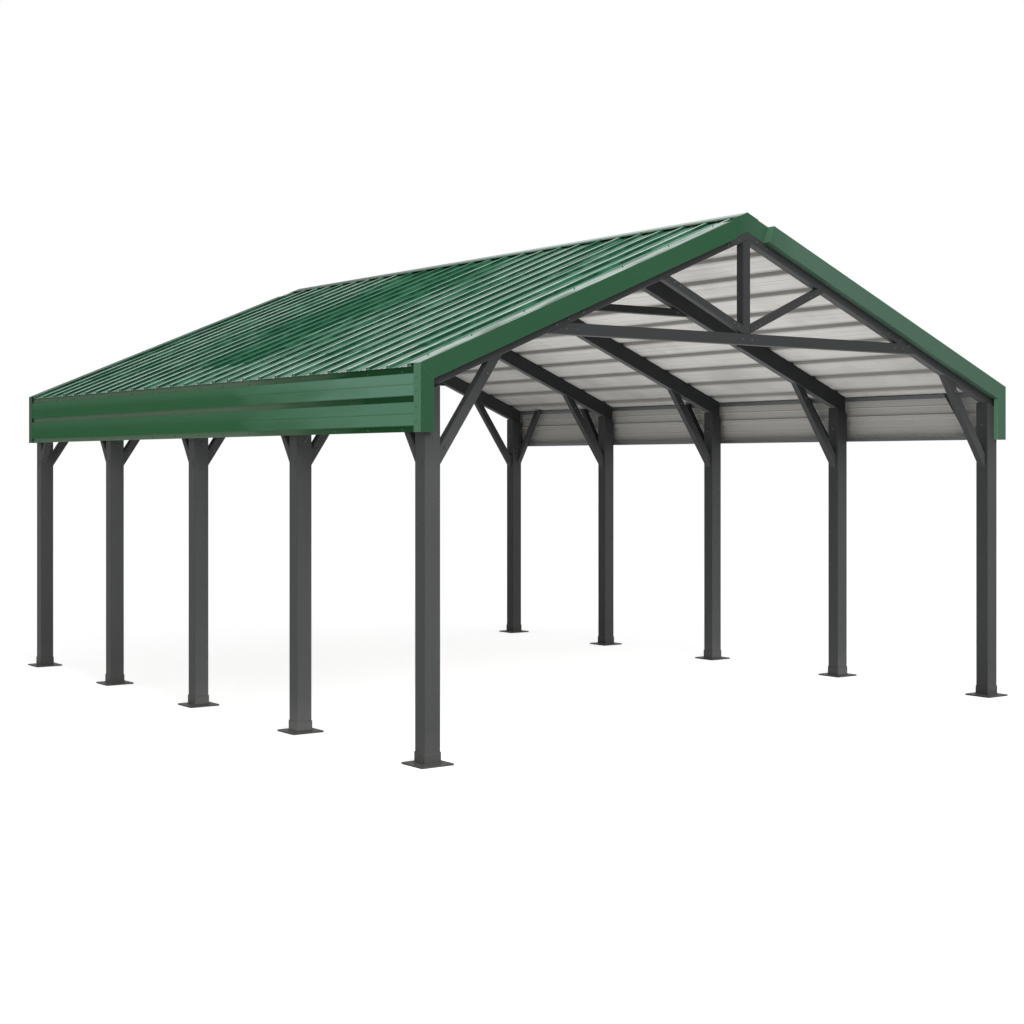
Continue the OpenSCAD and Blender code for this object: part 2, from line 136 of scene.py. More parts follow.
def charcoalFinish():
    # Polyester powder coat baked on steel tube: even satin with a faint orange peel, dusty low on the posts,
    # and painted shade: darker under the roof and on faces turned inwards
    look = {
        "paint": "#4C4D4D", "paleTone": "#555656", "dust": "#77756F", "deep": "#303132",
        "rough": (0.40, 0.58), "relief": (0.25, 0.0004),
    }
    material, tree, place = startFinish("powder_coated_steel", Specular_IOR_Level=0.07)
    cloud = pattern(tree, place, (300, 300, 700), 5.0)
    paint = addNode(
        tree, "ShaderNodeMix", {6: linear(look["paint"]), 7: linear(look["paleTone"])}, {0: cloud},
        data_type="RGBA")
    # splash dust fades out 250 mm above the ground
    spot = addNode(tree, "ShaderNodeSeparateXYZ", {}, {0: place}).outputs
    low = addNode(
        tree, "ShaderNodeMapRange", {"From Min": 0.25, "From Max": 0.0, "To Max": 0.4},
        {"Value": spot["Z"]})
    speck = pattern(tree, place, (35, 35, 60), 6.0, 0.7)
    dusty = addNode(tree, "ShaderNodeMath", {}, {0: low.outputs[0], 1: speck}, operation="MULTIPLY")
    dusted = addNode(
        tree, "ShaderNodeMix", {7: linear(look["dust"])}, {0: dusty.outputs[0], 6: paint.outputs[2]},
        data_type="RGBA")
    # painted shade: the steel is darker under the roof and on faces turned inwards, except where a face looks
    # down
    middle = addNode(tree, "ShaderNodeMath", {}, {0: spot["Y"]}, operation="ABSOLUTE")
    inner = addNode(
        tree, "ShaderNodeMapRange", {"From Min": 3.4, "From Max": 3.2, "To Min": 0.75},
        {"Value": middle.outputs[0]})
    high = addNode(tree, "ShaderNodeMapRange", {"From Min": 2.0, "From Max": 2.7}, {"Value": spot["Z"]})
    facing = splitFacing(tree)
    aside = addNode(
        tree, "ShaderNodeMapRange", {"From Min": -0.7, "From Max": -0.3}, {"Value": facing["Z"]})
    paintedShade = addNode(
        tree, "ShaderNodeMath", {}, {0: inner.outputs[0], 1: high.outputs[0]}, operation="MULTIPLY")
    paintedShade = addNode(
        tree, "ShaderNodeMath", {}, {0: paintedShade.outputs[0], 1: aside.outputs[0]}, operation="MULTIPLY")
    turned = addNode(tree, "ShaderNodeMath", {}, {0: facing["X"], 1: spot["X"]}, operation="MULTIPLY")
    inward = addNode(
        tree, "ShaderNodeMapRange", {"From Min": -1.0, "From Max": -2.5, "To Max": 0.7},
        {"Value": turned.outputs[0]})
    paintedShade = addNode(
        tree, "ShaderNodeMath", {}, {0: paintedShade.outputs[0], 1: inward.outputs[0]}, operation="MAXIMUM")
    final = addNode(
        tree, "ShaderNodeMix", {7: linear(look["deep"])}, {0: paintedShade.outputs[0], 6: dusted.outputs[2]},
        data_type="RGBA")
    peel = pattern(tree, place, (8, 8, 8), 2.0)  # orange peel of about 3 mm, drawn at 8 mm so that it shows
    return endFinish(material, {"Base Color": final.outputs[2]}, cloud, look["rough"], peel, look["relief"])


def roofFinish():
    # Coil-coated steel, rolled thin: painted shade on the ribs' sides and a painted highlight on their tops,
    # and a wet-looking gloss in broken runs that shows at a low angle, with a painted sheen in the colour as
    # well
    look = {
        "paint": "#568D72", "deep": "#31694C", "side": "#1B4832", "sidePale": "#3A7055", "paleTone": "#94CBB1",
        "paintedSheen": "#B2D9C8", "paintedSheenShare": 0.25, "sheenTint": "#EFFAF5", "foreTone": -0.8, "runShare": 1.6,
        "lap": 2.90, "lapWander": 0.12, "lapShadowOffset": 0.045, "rough": (0.25, 0.45), "relief": (0.5, 0.008),
    }
    material, tree, place = startFinish(
        "coil_coated_roof_steel", Specular_IOR_Level=0.0, Coat_Roughness=0.12, Sheen_Roughness=0.30,
        Sheen_Tint=linear(look["sheenTint"]))
    along, down, rise = slopeFrame(tree, place)
    cloud = pattern(tree, place, (900, 300, 900))
    streak = pattern(tree, place, (700, 110, 700), 2.0)
    # paint is deepest at the front, where it shows between the glossy runs
    fore = addNode(
        tree, "ShaderNodeMapRange", {"From Min": 0.2, "From Max": -1.5, "To Max": 0.88}, {"Value": along})
    tone = addNode(
        tree, "ShaderNodeMath", {1: look["foreTone"], 2: 1.0}, {0: fore.outputs[0]},
        operation="MULTIPLY_ADD")
    tone = addNode(tree, "ShaderNodeMath", {}, {0: tone.outputs[0], 1: cloud}, operation="MULTIPLY")
    paint = addNode(
        tree, "ShaderNodeMix", {6: linear(look["deep"]), 7: linear(look["paint"])}, {0: tone.outputs[0]},
        data_type="RGBA")
    # rib tops stand 20 mm above the pans; they get a painted highlight, broken up by the streaks
    ribTop = addNode(tree, "ShaderNodeMapRange", {"From Min": 0.046, "From Max": 0.050}, {"Value": rise})
    ribTopHighlightSpread = addNode(
        tree, "ShaderNodeMapRange", {"From Min": 0.35, "From Max": 0.60, "To Min": 0.25, "To Max": 0.9},
        {"Value": streak})
    paintedRibTopHighlight = addNode(
        tree, "ShaderNodeMath", {}, {0: ribTop.outputs[0], 1: ribTopHighlightSpread.outputs[0]}, operation="MULTIPLY")
    paleTone = addNode(
        tree, "ShaderNodeMix", {7: linear(look["paleTone"])}, {0: paintedRibTopHighlight.outputs[0], 6: paint.outputs[2]},
        data_type="RGBA")
    # gloss, and the painted sheen in the colour, grows towards both gables, most at the front, in runs down
    # the slope that break off raggedly
    rear = addNode(
        tree, "ShaderNodeMapRange", {"From Min": 0.1, "From Max": 2.2, "To Max": 0.95}, {"Value": along})
    low = addNode(
        tree, "ShaderNodeMapRange", {"From Min": 1.6, "From Max": 2.9, "To Max": 0.25}, {"Value": down})
    reach = addNode(tree, "ShaderNodeMath", {}, {0: fore.outputs[0], 1: rear.outputs[0]}, operation="ADD")
    reach = addNode(tree, "ShaderNodeMath", {}, {0: reach.outputs[0], 1: low.outputs[0]}, operation="ADD")
    reach = addNode(
        tree, "ShaderNodeMath", {1: look["runShare"]}, {0: streak, 2: reach.outputs[0]},
        operation="MULTIPLY_ADD")
    runs = addNode(
        tree, "ShaderNodeMapRange", {"From Min": 1.15, "From Max": 1.60}, {"Value": reach.outputs[0]})
    breaks = addNode(
        tree, "ShaderNodeMapRange", {"From Min": 0.38, "From Max": 0.50},
        {"Value": pattern(tree, place, (1100, 130, 1100), 3.0, 0.6)})
    broken = addNode(
        tree, "ShaderNodeMath", {}, {0: runs.outputs[0], 1: breaks.outputs[0]}, operation="MULTIPLY")
    # past the lap of the eave sheet the gloss and the painted sheen are even, and a painted shadow line runs
    # along the lap
    ragged = addNode(
        tree, "ShaderNodeMath", {1: look["lapWander"]}, {0: streak, 2: down}, operation="MULTIPLY_ADD")
    lapEdges = {"From Min": look["lap"] + 0.06, "From Max": look["lap"] + 0.09, "To Max": 0.65}
    pastLap = addNode(tree, "ShaderNodeMapRange", lapEdges, {"Value": ragged.outputs[0]})
    glossy = addNode(
        tree, "ShaderNodeMath", {}, {0: broken.outputs[0], 1: pastLap.outputs[0]}, operation="MAXIMUM")
    faint = addNode(
        tree, "ShaderNodeMath", {1: look["paintedSheenShare"]}, {0: glossy.outputs[0]}, operation="MULTIPLY")
    sheenPainted = addNode(
        tree, "ShaderNodeMix", {7: linear(look["paintedSheen"])}, {0: faint.outputs[0], 6: paleTone.outputs[2]},
        data_type="RGBA")
    # only faces that look up get the painted highlight, the painted sheen and the gloss; the sides of the
    # ribs get painted shade
    facing = splitFacing(tree)
    upward = addNode(
        tree, "ShaderNodeMapRange", {"From Min": 0.74, "From Max": 0.90}, {"Value": facing["Z"]})
    patch = addNode(
        tree, "ShaderNodeMapRange", {"From Min": 0.46, "From Max": 0.66},
        {"Value": pattern(tree, place, (260, 150, 260), 3.0, 0.6)})
    side = addNode(
        tree, "ShaderNodeMix", {6: linear(look["side"]), 7: linear(look["sidePale"])},
        {0: patch.outputs[0]}, data_type="RGBA")
    green = addNode(
        tree, "ShaderNodeMix", {}, {0: upward.outputs[0], 6: side.outputs[2], 7: sheenPainted.outputs[2]},
        data_type="RGBA")
    fromLap = addNode(
        tree, "ShaderNodeMath", {1: look["lap"] + look["lapShadowOffset"]}, {0: ragged.outputs[0]},
        operation="SUBTRACT")
    fromLap = addNode(tree, "ShaderNodeMath", {}, {0: fromLap.outputs[0]}, operation="ABSOLUTE")
    lapShadow = addNode(
        tree, "ShaderNodeMapRange", {"From Min": 0.022, "From Max": 0.008, "To Max": 0.5},
        {"Value": fromLap.outputs[0]})
    final = addNode(
        tree, "ShaderNodeMix", {7: linear(look["side"])}, {0: lapShadow.outputs[0], 6: green.outputs[2]},
        data_type="RGBA")
    coat = addNode(
        tree, "ShaderNodeMath", {}, {0: glossy.outputs[0], 1: upward.outputs[0]}, operation="MULTIPLY")
    buckles = pattern(tree, place, (380, 160, 380), 2.0)
    links = {"Base Color": final.outputs[2], "Coat Weight": coat.outputs[0], "Sheen Weight": coat.outputs[0]}
    return endFinish(material, links, cloud, look["rough"], buckles, look["relief"])


def skirtFinish():
    # The same coil coating on the side sheets: painted light towards the front, painted shade in the recessed
    # bands, and a grey backer coat inside
    look = {
        "front": "#74A189", "back": "#437751", "band": "#2C5838", "bandBack": "#738D74", "backer": "#BAB9B5",
        "dull": "#AFAEAA", "panFoot": 2.346, "panStep": 0.207, "cloudShare": 2.4, "turnedIn": -0.05,
        "rough": (0.32, 0.48), "relief": (0.35, 0.004),
    }
    material, tree, place = startFinish("coil_coated_side_steel", Specular_IOR_Level=0.0)
    cloud = pattern(tree, place, (500, 900, 120))
    roll = pattern(tree, place, (14, 1800, 14))
    spot = addNode(tree, "ShaderNodeSeparateXYZ", {}, {0: place}).outputs
    # painted light: the sheets are painted lighter towards the front
    drift = addNode(
        tree, "ShaderNodeMath", {1: look["cloudShare"]}, {0: cloud, 2: spot["Y"]}, operation="MULTIPLY_ADD")
    fore = addNode(
        tree, "ShaderNodeMapRange", {"From Min": 0.1, "From Max": -1.7}, {"Value": drift.outputs[0]})
    paint = addNode(
        tree, "ShaderNodeMix", {6: linear(look["back"]), 7: linear(look["front"])}, {0: fore.outputs[0]},
        data_type="RGBA")
    # each pan pales a little towards its upper edge
    up = addNode(tree, "ShaderNodeMath", {1: look["panFoot"]}, {0: spot["Z"]}, operation="SUBTRACT")
    up = addNode(tree, "ShaderNodeMath", {1: look["panStep"]}, {0: up.outputs[0]}, operation="MODULO")
    upper = addNode(
        tree, "ShaderNodeMapRange", {"From Min": 0.06, "From Max": 0.155, "To Max": 0.35},
        {"Value": up.outputs[0]})
    paled = addNode(
        tree, "ShaderNodeMix", {7: linear(look["front"])}, {0: upper.outputs[0], 6: paint.outputs[2]},
        data_type="RGBA")
    # and the lower pan is a little deeper than the upper one
    lowPan = addNode(
        tree, "ShaderNodeMapRange", {"From Min": 2.55, "From Max": 2.51, "To Max": 0.3},
        {"Value": spot["Z"]})
    paled = addNode(
        tree, "ShaderNodeMix", {7: linear(look["back"])}, {0: lowPan.outputs[0], 6: paled.outputs[2]},
        data_type="RGBA")
    # painted shade in the recessed bands, darkest at the front
    band = addNode(
        tree, "ShaderNodeMix", {6: linear(look["bandBack"]), 7: linear(look["band"])}, {0: fore.outputs[0]},
        data_type="RGBA")
    out = addNode(tree, "ShaderNodeMath", {}, {0: spot["X"]}, operation="ABSOLUTE")
    deep = addNode(
        tree, "ShaderNodeMapRange", {"From Min": 3.1265, "From Max": 3.1115}, {"Value": out.outputs[0]})
    green = addNode(
        tree, "ShaderNodeMix", {}, {0: deep.outputs[0], 6: paled.outputs[2], 7: band.outputs[2]},
        data_type="RGBA")
    backer = addNode(
        tree, "ShaderNodeMix", {6: linear(look["backer"]), 7: linear(look["dull"])}, {0: roll},
        data_type="RGBA")
    # the inner faces look back towards the middle of the building
    facing = splitFacing(tree)
    turned = addNode(tree, "ShaderNodeMath", {}, {0: facing["X"], 1: spot["X"]}, operation="MULTIPLY")
    inside = addNode(
        tree, "ShaderNodeMath", {1: look["turnedIn"]}, {0: turned.outputs[0]}, operation="LESS_THAN")
    final = addNode(
        tree, "ShaderNodeMix", {}, {0: inside.outputs[0], 6: green.outputs[2], 7: backer.outputs[2]},
        data_type="RGBA")
    waves = pattern(tree, place, (300, 700, 90), 2.0)
    return endFinish(material, {"Base Color": final.outputs[2]}, cloud, look["rough"], waves, look["relief"])


def trimFinish():
    # Flat flashing folded from the same painted coil: nearly matt, with painted sheen on top and painted
    # light on the sides, and pale along the bends
    look = {
        "paint": "#2A4E37", "pale": "#32573F", "rightSideLit": "#4B6656", "bent": "#7FA18B", "sheenTint": "#6F9D86",
        "side": "#5F8C6F", "ridgeReach": 0.16, "bend": 0.003, "rough": (0.38, 0.55), "relief": (0.25, 0.003),
    }
    material, tree, place = startFinish(
        "folded_painted_flashing", Specular_IOR_Level=0.05, Coat_Roughness=0.15)
    cloud = pattern(tree, place, (700, 300, 400), 5.0)
    paint = addNode(
        tree, "ShaderNodeMix", {6: linear(look["paint"]), 7: linear(look["pale"])}, {0: cloud},
        data_type="RGBA")
    spot = addNode(tree, "ShaderNodeSeparateXYZ", {}, {0: place}).outputs
    # painted light: the right slope's trims are lighter than the left's, and tops and sides are painted
    # lighter most at the front
    rightSideLight = addNode(tree, "ShaderNodeMapRange", {"From Min": -0.1, "From Max": 0.5}, {"Value": spot["X"]})
    paint = addNode(
        tree, "ShaderNodeMix", {7: linear(look["rightSideLit"])}, {0: rightSideLight.outputs[0], 6: paint.outputs[2]},
        data_type="RGBA")
    fore = addNode(
        tree, "ShaderNodeMapRange", {"From Min": 2.4, "From Max": -1.5, "To Min": 0.12},
        {"Value": spot["Y"]})
    facing = splitFacing(tree)
    sideways = addNode(tree, "ShaderNodeMath", {}, {0: facing["X"]}, operation="ABSOLUTE")
    side = addNode(
        tree, "ShaderNodeMapRange", {"From Min": 0.80, "From Max": 0.95}, {"Value": sideways.outputs[0]})
    side = addNode(
        tree, "ShaderNodeMath", {}, {0: side.outputs[0], 1: fore.outputs[0]}, operation="MULTIPLY")
    sideLit = addNode(
        tree, "ShaderNodeMix", {7: linear(look["side"])}, {0: side.outputs[0], 6: paint.outputs[2]},
        data_type="RGBA")
    upward = addNode(
        tree, "ShaderNodeMapRange", {"From Min": 0.74, "From Max": 0.90, "To Max": 0.85},
        {"Value": facing["Z"]})
    upward = addNode(
        tree, "ShaderNodeMath", {}, {0: upward.outputs[0], 1: fore.outputs[0]}, operation="MULTIPLY")
    # the painted sheen on top breaks off raggedly on the rakes, and on the ridge cap it is an even line along
    # the crown
    across = addNode(tree, "ShaderNodeMath", {}, {0: spot["X"]}, operation="ABSOLUTE")
    ragged = addNode(
        tree, "ShaderNodeMapRange", {"From Min": 0.40, "From Max": 0.54, "To Min": 0.2},
        {"Value": pattern(tree, place, (520, 70, 520), 3.0, 0.6)})
    crown = addNode(
        tree, "ShaderNodeMapRange", {"From Min": 0.075, "From Max": 0.055, "To Min": 0.12},
        {"Value": across.outputs[0]})
    offRidge = addNode(
        tree, "ShaderNodeMath", {1: look["ridgeReach"]}, {0: across.outputs[0]}, operation="GREATER_THAN")
    spread = addNode(
        tree, "ShaderNodeMix", {}, {0: offRidge.outputs[0], 2: crown.outputs[0], 3: ragged.outputs[0]})
    upward = addNode(
        tree, "ShaderNodeMath", {}, {0: upward.outputs[0], 1: spread.outputs[0]}, operation="MULTIPLY")
    topSheenPainted = addNode(
        tree, "ShaderNodeMix", {7: linear(look["sheenTint"])}, {0: upward.outputs[0], 6: sideLit.outputs[2]},
        data_type="RGBA")
    soft = addNode(tree, "ShaderNodeBevel", {"Radius": look["bend"]}, samples=4)
    flat = addNode(tree, "ShaderNodeNewGeometry")
    match = addNode(
        tree, "ShaderNodeVectorMath", {}, {0: soft.outputs[0], 1: flat.outputs["Normal"]},
        operation="DOT_PRODUCT")
    edge = addNode(
        tree, "ShaderNodeMapRange", {"From Min": 0.985, "From Max": 0.80, "To Max": 0.4},
        {"Value": match.outputs["Value"]})
    final = addNode(
        tree, "ShaderNodeMix", {7: linear(look["bent"])}, {0: edge.outputs[0], 6: topSheenPainted.outputs[2]},
        data_type="RGBA")
    waves = pattern(tree, place, (450, 120, 200), 2.0)
    links = {"Base Color": final.outputs[2], "Coat Weight": upward.outputs[0]}
    return endFinish(material, links, cloud, look["rough"], waves, look["relief"])


def liningFinish():
    # Pale backer coat on the under side of rolled steel: dull, with faint roll streaks along the building,
    # and painted shade towards the eaves and in soft grey along the grooves
    look = {
        "coat": "#DEDCD8", "streak": "#D0CECA", "eaveShadeAndCloud": "#B4B3AF", "grooveShade": "#8A8884",
        "firstGroove": 0.1834, "halfStep": 0.16683, "rough": (0.45, 0.60), "relief": (0.2, 0.002),
    }
    material, tree, place = startFinish("backer_coated_lining_steel", Specular_IOR_Level=0.1)
    down = slopeFrame(tree, place)[1]
    roll = pattern(tree, place, (30, 1500, 30), 3.0, 0.5)
    lines = addNode(tree, "ShaderNodeMapRange", {"From Min": 0.42, "From Max": 0.72}, {"Value": roll})
    coat = addNode(
        tree, "ShaderNodeMix", {6: linear(look["coat"]), 7: linear(look["streak"])}, {0: lines.outputs[0]},
        data_type="RGBA")
    # painted shade darker towards the eaves, and duller in soft clouds
    eaveShadeAndCloud = addNode(
        tree, "ShaderNodeMapRange", {"From Min": 1.3, "From Max": 2.8, "To Max": 0.5}, {"Value": down})
    haze = addNode(
        tree, "ShaderNodeMapRange", {"From Min": 0.48, "From Max": 0.72, "To Max": 0.5},
        {"Value": pattern(tree, place, (800, 600, 800), 3.0)})
    eaveShadeAndCloud = addNode(tree, "ShaderNodeMath", {}, {0: eaveShadeAndCloud.outputs[0], 1: haze.outputs[0]}, operation="ADD")
    coat = addNode(
        tree, "ShaderNodeMix", {7: linear(look["eaveShadeAndCloud"])}, {0: eaveShadeAndCloud.outputs[0], 6: coat.outputs[2]},
        data_type="RGBA")
    # painted shade along the grooves: distance down the slope from the middle of the nearest groove
    shifted = addNode(tree, "ShaderNodeMath", {1: look["firstGroove"]}, {0: down}, operation="SUBTRACT")
    apart = addNode(
        tree, "ShaderNodeMath", {1: look["halfStep"]}, {0: shifted.outputs[0]}, operation="PINGPONG")
    grooveShade = addNode(
        tree, "ShaderNodeMapRange", {"From Min": 0.075, "From Max": 0.025, "To Max": 0.8},
        {"Value": apart.outputs[0]})
    final = addNode(
        tree, "ShaderNodeMix", {7: linear(look["grooveShade"])}, {0: grooveShade.outputs[0], 6: coat.outputs[2]},
        data_type="RGBA")
    waves = pattern(tree, place, (420, 700, 420), 3.0)
    return endFinish(material, {"Base Color": final.outputs[2]}, roll, look["rough"], waves, look["relief"])


def galvanisedFinish():
    # Hot-dip galvanised tube: dull zinc with spangle about 12 mm across
    look = {
        "zinc": "#5F6265", "spangle": "#74777A", "grain": 12, "rough": (0.45, 0.65), "relief": (0.15, 0.0003),
    }
    material, tree, place = startFinish("galvanised_steel", Metallic=0.6)
    spangle = addNode(tree, "ShaderNodeTexVoronoi", {"Scale": 1000 / look["grain"]}, {"Vector": place})
    tone = addNode(
        tree, "ShaderNodeMix", {6: linear(look["zinc"]), 7: linear(look["spangle"])},
        {0: spangle.outputs["Color"]}, data_type="RGBA")
    tint, depth = spangle.outputs["Color"], spangle.outputs["Distance"]
    return endFinish(material, {"Base Color": tone.outputs[2]}, tint, look["rough"], depth, look["relief"])


def boltFinish():
    # Black-oxide hex bolts: dark metal, slightly clouded with handling
    look = {"black": "#3C3F41", "cloudy": "#5B5E60", "rough": (0.35, 0.55)}
    material, tree, place = startFinish("black_oxide_bolt_steel", Metallic=0.5)
    cloud = pattern(tree, place, (9, 9, 9), 3.0)
    tone = addNode(
        tree, "ShaderNodeMix", {6: linear(look["black"]), 7: linear(look["cloudy"])}, {0: cloud},
        data_type="RGBA")
    return endFinish(material, {"Base Color": tone.outputs[2]}, cloud, look["rough"])


def screwFinish():
    # Enamelled hex heads and washers, colour matched to the sheet, chipped a little on the corners
    look = {"enamel": "#48785C", "chip": "#6A9A80", "rough": (0.35, 0.5)}
    material, tree, place = startFinish("enamelled_screw_steel", Specular_IOR_Level=0.1)
    cloud = pattern(tree, place, (5, 5, 5))
    chip = addNode(tree, "ShaderNodeMapRange", {"From Min": 0.55, "From Max": 0.7}, {"Value": cloud})
    tone = addNode(
        tree, "ShaderNodeMix", {6: linear(look["enamel"]), 7: linear(look["chip"])}, {0: chip.outputs[0]},
        data_type="RGBA")
    return endFinish(material, {"Base Color": tone.outputs[2]}, cloud, look["rough"])


def closureFinish():
    # Closed-cell foam in the sheet's colour: dead matt, finely pitted
    look = {"foam": "#7FA591", "pit": "#6A907C", "relief": (0.3, 0.0005)}
    material, tree, place = startFinish("closed_cell_foam", Specular_IOR_Level=0.0, Roughness=0.9)
    pits = pattern(tree, place, (4, 4, 4), 3.0)
    tone = addNode(
        tree, "ShaderNodeMix", {6: linear(look["foam"]), 7: linear(look["pit"])}, {0: pits},
        data_type="RGBA")
    return endFinish(material, {"Base Color": tone.outputs[2]}, height=pits, relief=look["relief"])


finishes = {
    "charcoal": charcoalFinish(),
    "roof": roofFinish(),
    "skirt": skirtFinish(),
    "trim": trimFinish(),
    "lining": liningFinish(),
    "galvanised": galvanisedFinish(),
    "bolt": boltFinish(),
    "screw": screwFinish(),
    "closure": closureFinish(),
}
finishOf = {
    "charcoal_frame": "charcoal",
    "galvanised_rail": "galvanised",
    "grey_lining": "lining",
    "green_trim": "trim",
}
for name, node in nodes.items():  # green_sheet is on the roof sheets and on the skirts
    slotName = node.data.materials[0].name.split(".")[0]
    key = finishOf.get(slotName) or ("roof" if "roof" in name else "skirt")
    node.material_slots[0].material = finishes[key]
print("finishes:", len(finishes), "materials on the CAD nodes")


def fastenerTree():  # hex head with a chamfered top on a domed washer, set on each point along its aim
    tree = bpy.data.node_groups.new("hex_fastener", "GeometryNodeTree")
    sockets = tree.interface
    sockets.new_socket("Geometry", in_out="INPUT", socket_type="NodeSocketGeometry")
    for label in ("Across Flats", "Head Height", "Washer Diameter", "Washer Thickness"):
        sockets.new_socket(label, in_out="INPUT", socket_type="NodeSocketFloat")
    sockets.new_socket("Spin Seed", in_out="INPUT", socket_type="NodeSocketInt")
    for label in ("Head Finish", "Washer Finish"):
        sockets.new_socket(label, in_out="INPUT", socket_type="NodeSocketMaterial")
    sockets.new_socket("Geometry", in_out="OUTPUT", socket_type="NodeSocketGeometry")
    start = tree.nodes.new("NodeGroupInput").outputs
    topShare, bodyShare, domeShare = 0.84, 0.78, 0.82  # of the corners, the head and the rim
    corner = addNode(
        tree, "ShaderNodeMath", {1: 1 / math.sqrt(3)}, {0: start["Across Flats"]}, operation="MULTIPLY")
    inner = addNode(tree, "ShaderNodeMath", {1: topShare}, {0: corner.outputs[0]}, operation="MULTIPLY")
    body = addNode(tree, "ShaderNodeMath", {1: bodyShare}, {0: start["Head Height"]}, operation="MULTIPLY")
    cap = addNode(
        tree, "ShaderNodeMath", {1: 1 - bodyShare}, {0: start["Head Height"]}, operation="MULTIPLY")
    capFoot = addNode(
        tree, "ShaderNodeMath", {}, {0: body.outputs[0], 1: start["Washer Thickness"]}, operation="ADD")
    rim = addNode(tree, "ShaderNodeMath", {1: 0.5}, {0: start["Washer Diameter"]}, operation="MULTIPLY")
    dome = addNode(tree, "ShaderNodeMath", {1: domeShare}, {0: rim.outputs[0]}, operation="MULTIPLY")
    washer = addNode(tree, "GeometryNodeMeshCone", {"Vertices": 14}, {
        "Radius Top": dome.outputs[0], "Radius Bottom": rim.outputs[0], "Depth": start["Washer Thickness"]})
    marked = addNode(tree, "GeometryNodeStoreNamedAttribute", {"Name": "isWasher", "Value": True},
                     {"Geometry": washer.outputs["Mesh"]}, data_type="BOOLEAN", domain="FACE")
    hexBody = addNode(tree, "GeometryNodeMeshCone", {"Vertices": 6}, {
        "Radius Top": corner.outputs[0], "Radius Bottom": corner.outputs[0], "Depth": body.outputs[0]})
    hexCap = addNode(tree, "GeometryNodeMeshCone", {"Vertices": 6}, {
        "Radius Top": inner.outputs[0], "Radius Bottom": corner.outputs[0], "Depth": cap.outputs[0]})
    bodyShift = addNode(tree, "ShaderNodeCombineXYZ", {}, {"Z": start["Washer Thickness"]})
    capShift = addNode(tree, "ShaderNodeCombineXYZ", {}, {"Z": capFoot.outputs[0]})
    bodyUp = addNode(
        tree, "GeometryNodeTransform", {},
        {"Geometry": hexBody.outputs["Mesh"], "Translation": bodyShift.outputs[0]})
    capUp = addNode(
        tree, "GeometryNodeTransform", {},
        {"Geometry": hexCap.outputs["Mesh"], "Translation": capShift.outputs[0]})
    whole = addNode(tree, "GeometryNodeJoinGeometry")
    for part in (capUp, bodyUp, marked):
        tree.links.new(part.outputs[0], whole.inputs[0])
    aim = addNode(tree, "GeometryNodeInputNamedAttribute", {"Name": "aim"}, data_type="FLOAT_VECTOR")
    upright = addNode(
        tree, "FunctionNodeAlignRotationToVector", {}, {"Vector": aim.outputs["Attribute"]}, axis="Z")
    spin = addNode(
        tree, "FunctionNodeRandomValue", {2: 0.0, 3: math.pi / 3}, {"Seed": start["Spin Seed"]},
        data_type="FLOAT")
    twist = addNode(
        tree, "FunctionNodeAxisAngleToRotation", {"Axis": (0, 0, 1)}, {"Angle": spin.outputs[1]})
    turned = addNode(
        tree, "FunctionNodeRotateRotation", {},
        {"Rotation": upright.outputs[0], "Rotate By": twist.outputs[0]}, rotation_space="LOCAL")
    spread = addNode(tree, "GeometryNodeInstanceOnPoints", {}, {
        "Points": start["Geometry"], "Instance": whole.outputs[0], "Rotation": turned.outputs[0]})
    real = addNode(tree, "GeometryNodeRealizeInstances", {}, {0: spread.outputs[0]})
    isWasher = addNode(tree, "GeometryNodeInputNamedAttribute", {"Name": "isWasher"}, data_type="BOOLEAN")
    heads = addNode(
        tree, "GeometryNodeSetMaterial", {},
        {"Geometry": real.outputs[0], "Material": start["Head Finish"]})
    washers = addNode(tree, "GeometryNodeSetMaterial", {}, {
        "Geometry": heads.outputs[0], "Selection": isWasher.outputs["Attribute"],
        "Material": start["Washer Finish"]})
    addNode(tree, "NodeGroupOutput", {}, {0: washers.outputs[0]})
    return tree


